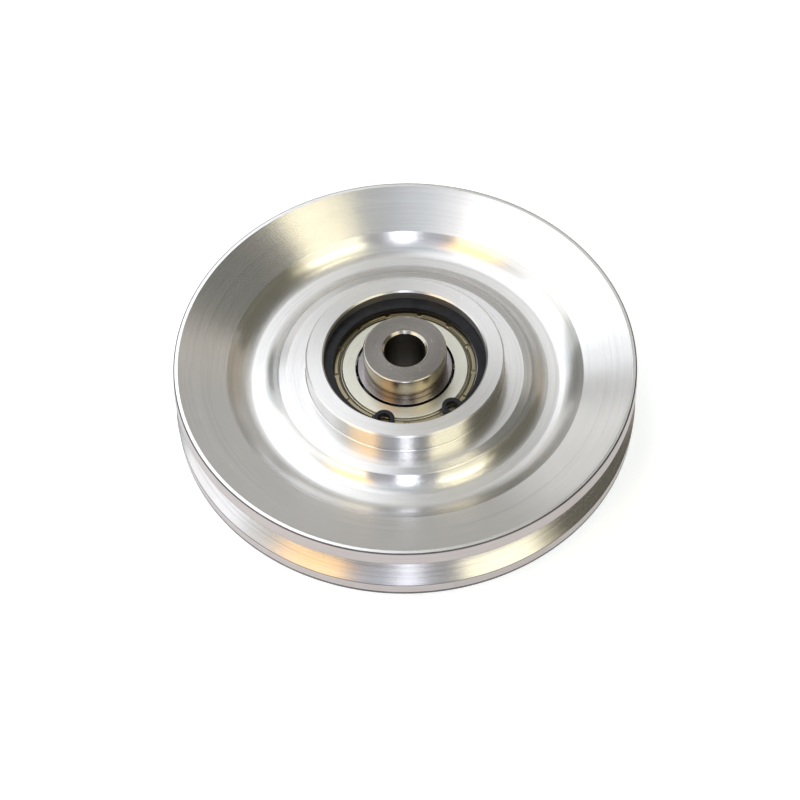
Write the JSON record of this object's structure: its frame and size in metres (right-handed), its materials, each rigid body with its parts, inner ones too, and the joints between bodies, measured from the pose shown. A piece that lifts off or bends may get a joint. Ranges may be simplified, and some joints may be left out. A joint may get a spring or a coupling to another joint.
{
  "type": "groove pulley",
  "caption": "Turned aluminium groove pulley with dished faces, a shielded ball bearing held by a retaining ring, and flanged bushings for the axle.",
  "frame": {"origin": "centre of the bearing and of the groove, on the axis of rotation", "axes": "+Z along the axis of rotation, out of the face that has the retaining ring; +X through the first bearing ball"},
  "size_m": [0.0912, 0.0912, 0.0216],
  "materials": {
    "turned_aluminium": "bright turned",
    "bearing_steel": "ground",
    "ball_steel": "polished",
    "cage_steel": "stamped",
    "shield_steel": "pressed, satin",
    "phosphate_black": "phosphate black",
    "bushing_steel": "turned, nickel grey"
  },
  "bodies": {
    "axle": {"bushing_front": "bushing_steel", "bushing_rear": "bushing_steel", "bearing_inner_ring": "bearing_steel"},
    "wheel": {"pulley_wheel": "turned_aluminium", "retaining_ring": "phosphate_black", "bearing_outer_ring": "bearing_steel", "shield_front": "shield_steel", "shield_rear": "shield_steel"},
    "cage": {"cage_front": "cage_steel", "cage_rear": "cage_steel", "cage_rivets": "cage_steel"},
    "ball_1": {"ball_1": "ball_steel"},
    "ball_2": {"ball_2": "ball_steel"},
    "ball_3": {"ball_3": "ball_steel"},
    "ball_4": {"ball_4": "ball_steel"},
    "ball_5": {"ball_5": "ball_steel"},
    "ball_6": {"ball_6": "ball_steel"},
    "ball_7": {"ball_7": "ball_steel"}
  },
  "joints": [
    {"name": "wheel_spin", "type": "hinge", "parent": "axle", "child": "wheel", "pos_m": [0, 0, 0], "axis": [0, 0, 1], "continuous": true},
    {"name": "cage_spin", "type": "hinge", "parent": "axle", "child": "cage", "pos_m": [0, 0, 0], "axis": [0, 0, 1], "continuous": true},
    {"name": "ball_1_spin", "type": "hinge", "parent": "cage", "child": "ball_1", "pos_m": [0.011, 0, 0], "axis": [0, 0, 1], "continuous": true},
    {"name": "ball_2_spin", "type": "hinge", "parent": "cage", "child": "ball_2", "pos_m": [0.00686, 0.0086, 0], "axis": [0, 0, 1], "continuous": true},
    {"name": "ball_3_spin", "type": "hinge", "parent": "cage", "child": "ball_3", "pos_m": [-0.00245, 0.01072, 0], "axis": [0, 0, 1], "continuous": true},
    {"name": "ball_4_spin", "type": "hinge", "parent": "cage", "child": "ball_4", "pos_m": [-0.00991, 0.00477, 0], "axis": [0, 0, 1], "continuous": true},
    {"name": "ball_5_spin", "type": "hinge", "parent": "cage", "child": "ball_5", "pos_m": [-0.00991, -0.00477, 0], "axis": [0, 0, 1], "continuous": true},
    {"name": "ball_6_spin", "type": "hinge", "parent": "cage", "child": "ball_6", "pos_m": [-0.00245, -0.01072, 0], "axis": [0, 0, 1], "continuous": true},
    {"name": "ball_7_spin", "type": "hinge", "parent": "cage", "child": "ball_7", "pos_m": [0.00686, -0.0086, 0], "axis": [0, 0, 1], "continuous": true}
  ],
  "couplings": [
    {"joint": "cage_spin", "follows": "wheel_spin", "ratio": 0.6353},
    {"joint": "ball_1_spin", "follows": "wheel_spin", "ratio": 1.7125},
    {"joint": "ball_2_spin", "follows": "wheel_spin", "ratio": 1.7125},
    {"joint": "ball_3_spin", "follows": "wheel_spin", "ratio": 1.7125},
    {"joint": "ball_4_spin", "follows": "wheel_spin", "ratio": 1.7125},
    {"joint": "ball_5_spin", "follows": "wheel_spin", "ratio": 1.7125},
    {"joint": "ball_6_spin", "follows": "wheel_spin", "ratio": 1.7125},
    {"joint": "ball_7_spin", "follows": "wheel_spin", "ratio": 1.7125}
  ]
}
